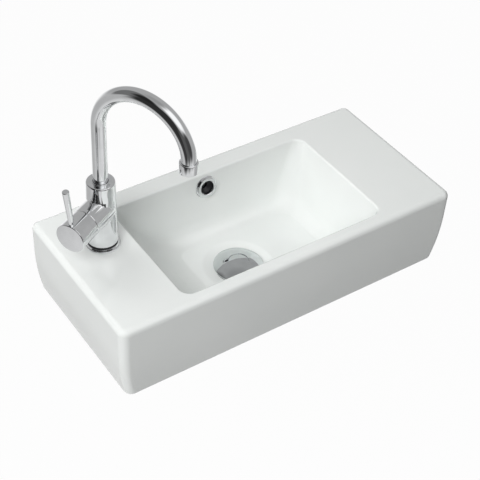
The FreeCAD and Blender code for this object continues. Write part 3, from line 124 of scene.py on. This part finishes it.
def surface(name, low, high, roughness, spread, grain, bump, bump_grain, metallic=0, coat=0,
            stretch=(1, 1, 1)):
    """
    A glossy or matt surface: its colour drifts between two shades, its roughness by a spread,
    and a fine bump gives it its grain. A stretch turns the grain into brushing.
    """
    material = bpy.data.materials.new(name)
    material.use_nodes = True
    nodes = Nodes(material.node_tree)
    out = nodes.add("ShaderNodeOutputMaterial")
    shader = nodes.add("ShaderNodeBsdfPrincipled", {"Metallic": metallic, "Coat Weight": coat})
    nodes.join(shader.outputs["BSDF"], out.inputs["Surface"])
    place = nodes.add("ShaderNodeTexCoord")
    scale = nodes.add("ShaderNodeMapping", {"Scale": stretch})
    nodes.join(place.outputs["Object"], scale.inputs["Vector"])
    drift = nodes.add("ShaderNodeTexNoise", {"Scale": grain, "Detail": DRIFT_DETAIL})
    nodes.join(scale.outputs["Vector"], drift.inputs["Vector"])
    ramp = nodes.add("ShaderNodeValToRGB")
    stops = ramp.color_ramp.elements
    for stop, position, shade in zip(stops, (NOISE_LOW, NOISE_HIGH), (low, high)):
        stop.position = position
        stop.color = (*shade, 1)
    nodes.join(drift.outputs["Fac"], ramp.inputs["Fac"])
    nodes.join(ramp.outputs["Color"], shader.inputs["Base Color"])
    gloss = nodes.add(
        "ShaderNodeMapRange",
        {
            "From Min": NOISE_LOW,
            "From Max": NOISE_HIGH,
            "To Min": roughness - spread,
            "To Max": roughness + spread,
        },
    )
    nodes.join(drift.outputs["Fac"], gloss.inputs["Value"])
    nodes.join(gloss.outputs["Result"], shader.inputs["Roughness"])
    fine = nodes.add("ShaderNodeTexNoise", {"Scale": bump_grain, "Detail": BUMP_DETAIL})
    nodes.join(scale.outputs["Vector"], fine.inputs["Vector"])
    relief = nodes.add("ShaderNodeBump", {"Distance": bump, "Strength": BUMP_STRENGTH})
    nodes.join(fine.outputs["Fac"], relief.inputs["Height"])
    nodes.join(relief.outputs["Normal"], shader.inputs["Normal"])
    return material


# The record's material slots, each with its two shades. The bump is in metres
MATERIALS = {
    "ceramic": surface(
        "glazed ceramic", (0.80, 0.825, 0.81), (0.83, 0.85, 0.835),
        roughness=0.10, spread=0.02, grain=9, bump=0.00004, bump_grain=45, coat=0.3,
    ),
    "chrome": surface(
        "chrome", (0.80, 0.81, 0.82), (0.87, 0.88, 0.89),
        roughness=0.05, spread=0.02, grain=70, bump=0.000004, bump_grain=120, metallic=1,
    ),
    "brass": surface(
        "brass", (0.55, 0.38, 0.14), (0.68, 0.50, 0.22),
        roughness=0.30, spread=0.08, grain=150, bump=0.00002, bump_grain=500, metallic=1,
    ),
    "steel": surface(
        "brushed steel", (0.42, 0.42, 0.43), (0.55, 0.55, 0.56),
        roughness=0.32, spread=0.08, grain=400, bump=0.00001, bump_grain=900, metallic=1,
        stretch=(1, 1, 0.05),
    ),
    "black_rubber": surface(
        "black rubber", (0.012, 0.012, 0.013), (0.03, 0.03, 0.032),
        roughness=0.7, spread=0.1, grain=300, bump=0.00004, bump_grain=1500,
    ),
    "dark_plastic": surface(
        "dark plastic", (0.01, 0.01, 0.011), (0.02, 0.02, 0.022),
        roughness=0.4, spread=0.08, grain=300, bump=0.00002, bump_grain=1200,
    ),
    "white_plastic": surface(
        "white plastic", (0.72, 0.72, 0.69), (0.79, 0.79, 0.76),
        roughness=0.45, spread=0.06, grain=120, bump=0.00002, bump_grain=900,
    ),
    "disc_ceramic": surface(
        "disc ceramic", (0.72, 0.69, 0.6), (0.8, 0.78, 0.7),
        roughness=0.18, spread=0.04, grain=200, bump=0.00001, bump_grain=700,
    ),
}
# The plug's chrome is a shade greyer than the tap's
PLUG_FINISH = surface(
    "plug chrome", (0.64, 0.665, 0.67), (0.71, 0.735, 0.74),
    roughness=0.04, spread=0.02, grain=70, bump=0.000004, bump_grain=120, metallic=1,
)


# Meshes

# Steps round a piece, and in a rounded corner
ROUND_STEPS = 96
WIDE_STEPS = 128
PIN_STEPS = 64
CORNER_STEPS = 6
# Edges over the sharp angle stay sharp, and faces within the flat angle are joined (degrees)
SHARP_ANGLE = 35
FLAT_ANGLE = 0.2
# Vertices within the weld distance are one, and a point within the axis distance is on the axis
WELD_DISTANCE = 0.002
AXIS_DISTANCE = 1e-6
# Lets the larger faces set the shading where faces meet
LARGE_FACE_WEIGHT = 100


def rounded(outline):
    """
    The points of a closed outline in metres. A point is a radius and a height, and a third
    number rounds its corner.
    """
    points = []
    count = len(outline)
    for index, (radius, height, *rounding) in enumerate(outline):
        here = Vector((radius, height))
        if not rounding:
            points.append(here * MM)
            continue
        before = (Vector(outline[index - 1][:2]) - here).normalized()
        after = (Vector(outline[(index + 1) % count][:2]) - here).normalized()
        half = before.angle(after) / 2
        reach = rounding[0] / math.tan(half)
        centre = here + (before + after).normalized() * rounding[0] / math.sin(half)
        first = here + before * reach - centre
        last = here + after * reach - centre
        sweep = first.angle_signed(last)
        for step in range(CORNER_STEPS + 1):
            turn = -sweep * step / CORNER_STEPS
            points.append((centre + Matrix.Rotation(turn, 2) @ first) * MM)
    return points


def finish_mesh(name, mesh, place, sharp=SHARP_ANGLE):
    """The mesh as an object in its place, smooth but for its sharp edges."""
    data = bpy.data.meshes.new(name)
    mesh.to_mesh(data)
    mesh.free()
    data.transform(place)
    for face in data.polygons:
        face.use_smooth = True
    data.set_sharp_from_angle(angle=math.radians(sharp))
    return new_object(name, data)


def lathe(name, outline, place, steps=ROUND_STEPS, sharp=SHARP_ANGLE):
    """A closed outline turned about Z and put in its place."""
    mesh = bmesh.new()
    rings = []
    for point in rounded(outline):
        if point.x < AXIS_DISTANCE * MM:
            rings.append([mesh.verts.new((0, 0, point.y))] * steps)
            continue
        ring = []
        for step in range(steps):
            angle = 2 * math.pi * step / steps
            ring.append(mesh.verts.new((point.x * math.cos(angle), point.x * math.sin(angle), point.y)))
        rings.append(ring)
    for index, ring in enumerate(rings):
        following = rings[(index + 1) % len(rings)]
        for step in range(steps):
            after = (step + 1) % steps
            corners = dict.fromkeys((ring[step], ring[after], following[after], following[step]))
            if len(corners) > 2:
                mesh.faces.new(list(corners))
    bmesh.ops.recalc_face_normals(mesh, faces=mesh.faces)
    return finish_mesh(name, mesh, place, sharp)


def copy_of(node, name, sharp=SHARP_ANGLE):
    """
    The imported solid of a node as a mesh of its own, welded and shaded by angle. Its flat faces
    are joined, so that the long triangles around a hole don't show in the gloss.
    """
    mesh = bmesh.new()
    mesh.from_mesh(frame["nodes"][node].data)
    bmesh.ops.remove_doubles(mesh, verts=mesh.verts, dist=WELD_DISTANCE * MM)
    flat = math.radians(FLAT_ANGLE)
    bmesh.ops.dissolve_limit(mesh, angle_limit=flat, verts=mesh.verts, edges=mesh.edges)
    piece = finish_mesh(name, mesh, Matrix(), sharp)
    weighted = piece.modifiers.new("weighted", "WEIGHTED_NORMAL")
    weighted.keep_sharp = True
    weighted.weight = LARGE_FACE_WEIGHT
    return piece


def dress(piece, node, body, slot, finish=None):
    """The piece stands for a node, rides on a body and takes the slot's material or its own finish."""
    piece.data.materials.append(finish or MATERIALS[slot])
    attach(piece, body)
    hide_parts(node)


def on_tap(heading, reach=0, height=0, tilt=Matrix()):
    """The place of a piece on the tap: its own X points along the heading before the tilt."""
    turn = Matrix.Rotation(heading, 4, "Z")
    return Matrix.Translation(TAP_FOOT) @ turn @ Matrix.Translation((reach * MM, 0, height * MM)) @ tilt


# Pieces, each with the outline of its solid and the roundings of its edges

def make_basin():
    dress(copy_of("basin_body", "basin"), "basin_body", "basin", "ceramic")


def make_overflow():
    """The ring in the leaning back wall of the bowl, and inside it a dark lining that paints the shade
    deep in the overflow duct.
    """
    wall_run, wall_drop = 16.3, 91
    wall_top, across, drop = -30, -9, 20.5
    lean = math.atan(wall_run / wall_drop)
    centre = Vector((across, wall_top - drop * math.tan(lean), DECK_HEIGHT - drop)) * MM
    place = Matrix.Translation(centre) @ Matrix.Rotation(math.radians(90) - lean, 4, "X")

    bore, duct, rim = 9.8, 11.2, 16
    bore_edge, bevel_top, bevel_foot = 10.4, 13.6, 15.2
    seat, bevel_start, bore_top, top = 0.8, 1.1, 3.6, 4.2
    fine, soft, full = 0.2, 0.3, 0.4
    ring = lathe(
        "overflow_trim",
        [
            (bore, seat),
            (duct, seat),
            (duct, 0),
            (rim, 0, fine),
            (rim, seat, fine),
            (bevel_foot, bevel_start, soft),
            (bevel_top, top, full),
            (bore_edge, top, soft),
            (bore, bore_top, fine),
        ],
        place,
    )
    dress(ring, "overflow_ring", "basin", "chrome")

    # The lining is dark plastic as painted shade: it stands in for the shade deep inside the overflow
    # hole.
    throat, end, taper_end, taper_start, throat_edge = 5, -9, -6, -2, 0.5
    shade_lining = lathe(
        "overflow_painted_shade_lining",
        [
            (throat, end, fine),
            (duct, end, fine),
            (duct, seat),
            (bore, seat),
            (bore, taper_start),
            (throat, taper_end, throat_edge),
        ],
        place,
    )
    dress(shade_lining, "overflow_ring", "basin", "dark_plastic")


def make_plug():
    """The plug: a dome whose middle lies a small step lower, with a groove for its seal below."""
    top_seal, flange, gap, plug_seal, groove = 1, 1.5, 0.3, 1.6, 1.2
    height = top_seal + flange + gap + plug_seal - groove
    place = Matrix.Translation(WASTE_SEAT + Vector((0, 0, height * MM)))

    outer, middle, edge, rise, step_down = 33.5, 13.8, 1, 8.5, 0.8
    groove_inner, groove_outer = 25, 29
    fine, soft = 0.3, 0.6
    slope_steps, middle_steps, sharp = 20, 14, 25
    top = edge + rise
    radius = (outer ** 2 + rise ** 2) / (2 * rise)

    def dome(first, last, steps, top):
        """Points of the dome from one distance off its axis to another."""
        reaches = [first + (last - first) * step / steps for step in range(steps + 1)]
        return [(reach, top - radius + math.sqrt(radius ** 2 - reach ** 2)) for reach in reaches]

    outline = [
        (0, 0),
        (groove_inner, 0),
        (groove_inner, groove),
        (groove_outer, groove),
        (groove_outer, 0),
        (outer, 0, fine),
        (outer, edge, soft),
    ]
    outline += dome(outer, middle, slope_steps, top)[1:]
    outline += dome(middle, 0, middle_steps, top - step_down)
    plug = lathe("plug_disc", outline, place, WIDE_STEPS, sharp)
    dress(plug, "plug_cap", "plug", "chrome", PLUG_FINISH)


def make_tap():
    """The column of the tap, with its base ring below and the spout's guide above."""
    place = on_tap(HANDLE_HEADING)

    bore, neck, bead, rim = 17.3, 19.5, 20.5, 21.5
    groove_inner, groove_outer, groove_depth = 18.1, 20.3, 1.2
    bead_height, foot_height = 3, 5.2
    fine, soft, full = 0.2, 0.3, 0.9
    ring = lathe(
        "tap_foot_ring",
        [
            (bore, 0),
            (groove_inner, 0),
            (groove_inner, groove_depth),
            (groove_outer, groove_depth),
            (groove_outer, 0),
            (rim, 0, fine),
            (rim, bead_height, full),
            (bead, bead_height),
            (neck, foot_height, soft),
            (bore, foot_height),
        ],
        place,
        WIDE_STEPS,
    )
    dress(ring, "tap_base_ring", "basin", "chrome")

    gasket_radius, gasket_top = 18.6, 7.5
    gasket = lathe(
        "tap_foot_gasket",
        [
            (bore, foot_height),
            (gasket_radius, foot_height, soft),
            (gasket_radius, gasket_top, soft),
            (bore, gasket_top),
        ],
        place,
    )
    dress(gasket, "tap_base_ring", "basin", "black_rubber")

    sharp = 30
    dress(copy_of("tap_body", "tap_column", sharp), "tap_body", "basin", "chrome")

    wiper_bore, guide_bore, guide_radius = 9.05, 9.5, 10.75
    guide_foot, guide_top, wiper_top = 86.8, 99.1, 98.9
    outer_edge, bore_edge = 0.5, 0.1
    guide = lathe(
        "spout_guide",
        [
            (guide_bore, guide_foot),
            (guide_radius, guide_foot),
            (guide_radius, guide_top, outer_edge),
            (guide_bore, guide_top, bore_edge),
        ],
        place,
    )
    dress(guide, "spout_bush", "basin", "chrome")
    wiper = lathe(
        "spout_wiper",
        [
            (wiper_bore, guide_foot),
            (guide_bore, guide_foot),
            (guide_bore, wiper_top),
            (wiper_bore, wiper_top),
        ],
        place,
    )
    dress(wiper, "spout_bush", "basin", "dark_plastic")


def sweep_tube(name, centres, normals, outer, inner, place):
    """A tube along centres: an outer and an inner skin, joined at both ends."""
    mesh = bmesh.new()
    side = Vector((0, 1, 0))
    turns = [2 * math.pi * step / ROUND_STEPS for step in range(ROUND_STEPS)]

    def skin(radius):
        rings = []
        for centre, normal in zip(centres, normals):
            spokes = [normal * math.cos(turn) + side * math.sin(turn) for turn in turns]
            rings.append([mesh.verts.new((centre + spoke * radius) * MM) for spoke in spokes])
        return rings

    def band(one, two):
        for step in range(ROUND_STEPS):
            after = (step + 1) % ROUND_STEPS
            mesh.faces.new([one[step], one[after], two[after], two[step]])

    skins = [skin(outer), skin(inner)]
    for rings in skins:
        for one, two in zip(rings, rings[1:]):
            band(one, two)
    for end in (0, -1):
        band(skins[0][end], skins[1][end])
    bmesh.ops.recalc_face_normals(mesh, faces=mesh.faces)
    return finish_mesh(name, mesh, place)


def make_spout():
    """The pipe, up, over in a half circle and a little down, with the aerator's cup at its end."""
    foot, rise, bend, fall = 77.5, 180.5, 60.5, 6
    pipe_radius, pipe_bore = 9, 8
    rise_steps, bend_steps = 8, 288
    centres = []
    normals = []
    for step in range(rise_steps + 1):
        centres.append(Vector((0, 0, foot + (rise - foot) * step / rise_steps)))
        normals.append(Vector((-1, 0, 0)))
    for step in range(1, bend_steps + 1):
        angle = math.pi * step / bend_steps
        out = Vector((-math.cos(angle), 0, math.sin(angle)))
        centres.append(Vector((bend, 0, rise)) + out * bend)
        normals.append(out)
    centres.append(Vector((bend * 2, 0, rise - fall)))
    normals.append(Vector((1, 0, 0)))
    pipe = sweep_tube("swan_neck", centres, normals, pipe_radius, pipe_bore, on_tap(SPOUT_HEADING))
    dress(pipe, "spout_pipe", "spout", "chrome")

    cup_bore, pipe_hole, cup_radius = 8, 9.1, 11
    cup_foot, lip_top, cup_top = 167, 168.2, 181
    bore_edge, foot_edge, top_edge = 0.4, 0.9, 1.2
    cup = lathe(
        "aerator_cup",
        [
            (cup_bore, cup_foot, bore_edge),
            (cup_radius, cup_foot, foot_edge),
            (cup_radius, cup_top, top_edge),
            (pipe_hole, cup_top),
            (pipe_hole, lip_top),
            (cup_bore, lip_top),
        ],
        on_tap(SPOUT_HEADING, bend * 2),
    )
    dress(cup, "aerator_shell", "spout", "chrome")


def make_handle():
    """The round cap over the cartridge, and the lever pin that stands on it."""
    outer, skirt_bore, cavity, boss, spindle = 19, 18, 16.5, 7, 4.05
    foot, skirt_end, boss_foot, cavity_end, spindle_end, end = 37, 45, 46, 52, 56, 67
    fine, soft = 0.1, 1
    outward = Matrix.Rotation(math.radians(90), 4, "Y")
    cap = lathe(
        "handle_knob",
        [
            (skirt_bore, foot, fine),
            (outer, foot, fine),
            (outer, end, soft),
            (0, end),
            (0, spindle_end),
            (spindle, spindle_end),
            (spindle, boss_foot),
            (boss, boss_foot),
            (boss, cavity_end),
            (cavity, cavity_end),
            (cavity, skirt_end),
            (skirt_bore, skirt_end),
        ],
        on_tap(HANDLE_HEADING, 0, HANDLE_HEIGHT, outward),
        WIDE_STEPS,
    )
    dress(cap, "handle_cap", "handle", "chrome")

    reach, lean = 62.3, math.radians(8)
    tail_end, tail, shoulder, neck, tip, length = -9, 2.95, -1.2, 3.2, 4.15, 54.5
    tail_edge, tip_edge = 0.2, 0.8
    lever = lathe(
        "handle_lever",
        [
            (0, tail_end),
            (tail, tail_end, tail_edge),
            (tail, shoulder),
            (neck, shoulder),
            (tip, length, tip_edge),
            (0, length),
        ],
        on_tap(HANDLE_HEADING, reach, HANDLE_HEIGHT + outer, Matrix.Rotation(lean, 4, "Y")),
        PIN_STEPS,
    )
    dress(lever, "lever_pin", "handle", "chrome")


def finish_packed():
    """Every node of the frame gets the material of its slot."""
    slots = {item["node"]: item["material_slot"] for item in frame["record"]["subparts"]}
    for node, piece in frame["nodes"].items():
        piece.data.materials.clear()
        piece.data.materials.append(MATERIALS[slots[node]])


# Studio, with its places and sizes in metres

# What metal mirrors of the studio besides the white background: soft round panels, each blended
# over the ones before it. A panel has the heading and height of its middle, the angle within
# which it is full and the one beyond which it is gone, all in degrees, and its brightness
PANELS = [
    (0, 90, 84, 104, 0.42),
    (155, -35, 32, 62, 0.50),
    (-120, -62, 30, 62, 0.74),
    (-75, 48, 16, 38, 1.12),
    (0, 90, 4, 30, 0.33),
    (-25, -12, 24, 46, 0.44),
    (155, 34, 26, 36, 0.17),
    (-152, 4, 32, 45, 0.03),
    (-112, -8, 14, 28, 0.10),
    (-80, -2, 14, 30, 0.06),
    (180, 42, 10, 26, 0.02),
]
# Square soft lights that face the basin and don't show in metal: place, side and power in watts
LIGHTS = {
    "key": ((-2.0, -1.4, 2.2), 1.6, 82),
    "back": ((-0.6, 1.0, 1.3), 1.2, 12),
    "top": ((0, -0.1, 1.6), 1.4, 4.5),
    "front": ((-0.4, -1.5, 1.2), 1.2, 4.2),
    "low left": ((-1.2, -0.02, -0.5), 0.4, 2.8),
}
LIGHT_TARGET = Vector((0, -0.12, 0))
WORLD_LIGHT = 0.03
FLOOR_DROP = 0.8
FLOOR_HALF_WIDTH = 14
FLOOR_SHADE = 0.6
# How much of the floor is background for the camera and for metal; the rest keeps the shadow
FLOOR_SHARE = 0.97
WHITE = (1, 1, 1, 1)
# The inputs of a mix node of plain numbers
FACTOR, FIRST, SECOND = 0, 2, 3


def add_light(name, place, side, power):
    data = bpy.data.lights.new(name, "AREA")
    data.size = side
    data.energy = power
    light = new_object(name, data)
    facing = (Vector(place) - LIGHT_TARGET).to_track_quat("Z", "Y").to_matrix().to_4x4()
    light.matrix_world = Matrix.Translation(place) @ facing
    light.visible_glossy = False


def background_rays(nodes):
    """The camera's own rays, and all rays that see the background: these and mirrored ones."""
    rays = nodes.add("ShaderNodeLightPath")
    seen = nodes.add("ShaderNodeMath", operation="MAXIMUM")
    nodes.join(rays.outputs["Is Camera Ray"], seen.inputs[0])
    nodes.join(rays.outputs["Is Glossy Ray"], seen.inputs[1])
    return rays.outputs["Is Camera Ray"], seen.outputs[0]


def panel(nodes, look, before, heading, height, within, beyond, brightness):
    """Blends a soft round panel of one brightness into what came before."""
    heading, height = math.radians(heading), math.radians(height)
    middle = (
        math.cos(heading) * math.cos(height),
        math.sin(heading) * math.cos(height),
        math.sin(height),
    )
    nearness = nodes.add("ShaderNodeVectorMath", {1: middle}, operation="DOT_PRODUCT")
    nodes.join(look, nearness.inputs[0])
    limits = {"From Min": math.cos(math.radians(beyond)), "From Max": math.cos(math.radians(within))}
    edge = nodes.add("ShaderNodeMapRange", limits, interpolation_type="SMOOTHSTEP")
    nodes.join(nearness.outputs["Value"], edge.inputs["Value"])
    blend = nodes.add("ShaderNodeMix", {SECOND: brightness}, data_type="FLOAT")
    nodes.join(edge.outputs["Result"], blend.inputs[FACTOR])
    nodes.join(before, blend.inputs[FIRST])
    return blend.outputs[0]


def background(nodes, look, camera_ray, kind):
    """White for the camera, white with the panels for metal; a look is a direction from the tap."""
    white = nodes.add("ShaderNodeValue")
    white.outputs[0].default_value = 1
    shade = white.outputs[0]
    for values in PANELS:
        shade = panel(nodes, look, shade, *values)
    level = nodes.add("ShaderNodeMix", {SECOND: 1}, data_type="FLOAT")
    nodes.join(camera_ray, level.inputs[FACTOR])
    nodes.join(shade, level.inputs[FIRST])
    glow = nodes.add(kind, {"Color": WHITE})
    nodes.join(level.outputs[0], glow.inputs["Strength"])
    return glow.outputs[0]


def add_floor():
    """A wide pale floor under the hanging basin, which keeps a share of the basin's shadow."""
    mesh = bmesh.new()
    bmesh.ops.create_grid(mesh, x_segments=1, y_segments=1, size=FLOOR_HALF_WIDTH)
    floor = finish_mesh("floor", mesh, Matrix.Translation((0, 0, -FLOOR_DROP)))
    material = bpy.data.materials.new("floor")
    material.use_nodes = True
    nodes = Nodes(material.node_tree)
    out = nodes.add("ShaderNodeOutputMaterial")
    matt = nodes.add("ShaderNodeBsdfDiffuse", {"Color": (FLOOR_SHADE, FLOOR_SHADE, FLOOR_SHADE, 1)})
    camera_ray, seen = background_rays(nodes)
    place = nodes.add("ShaderNodeTexCoord")
    away = nodes.add("ShaderNodeVectorMath", {1: TAP_FOOT}, operation="SUBTRACT")
    nodes.join(place.outputs["Object"], away.inputs[0])
    look = nodes.add("ShaderNodeVectorMath", operation="NORMALIZE")
    nodes.join(away.outputs["Vector"], look.inputs[0])
    glow = background(nodes, look.outputs["Vector"], camera_ray, "ShaderNodeEmission")
    share = nodes.add("ShaderNodeMath", {1: FLOOR_SHARE}, operation="MULTIPLY")
    mix = nodes.add("ShaderNodeMixShader")
    nodes.join(seen, share.inputs[0])
    nodes.join(share.outputs[0], mix.inputs["Fac"])
    nodes.join(matt.outputs["BSDF"], mix.inputs[1])
    nodes.join(glow, mix.inputs[2])
    nodes.join(mix.outputs["Shader"], out.inputs["Surface"])
    floor.data.materials.append(material)


def add_world():
    """Faint even light, and the background for the camera and for metal."""
    world = bpy.data.worlds.new("studio")
    bpy.context.scene.world = world
    world.use_nodes = True
    nodes = Nodes(world.node_tree)
    out = nodes.add("ShaderNodeOutputWorld")
    camera_ray, seen = background_rays(nodes)
    place = nodes.add("ShaderNodeTexCoord")
    glow = background(nodes, place.outputs["Generated"], camera_ray, "ShaderNodeBackground")
    soft = nodes.add("ShaderNodeBackground", {"Color": WHITE, "Strength": WORLD_LIGHT})
    mix = nodes.add("ShaderNodeMixShader")
    nodes.join(seen, mix.inputs["Fac"])
    nodes.join(soft.outputs["Background"], mix.inputs[1])
    nodes.join(glow, mix.inputs[2])
    nodes.join(mix.outputs["Shader"], out.inputs["Surface"])


def build():
    bpy.context.scene.view_settings.view_transform = "Standard"
    add_camera()
    finish_packed()
    make_basin()
    make_overflow()
    make_plug()
    make_tap()
    make_spout()
    make_handle()
    add_floor()
    add_world()
    for name, (place, side, power) in LIGHTS.items():
        add_light(name, place, side, power)


build()
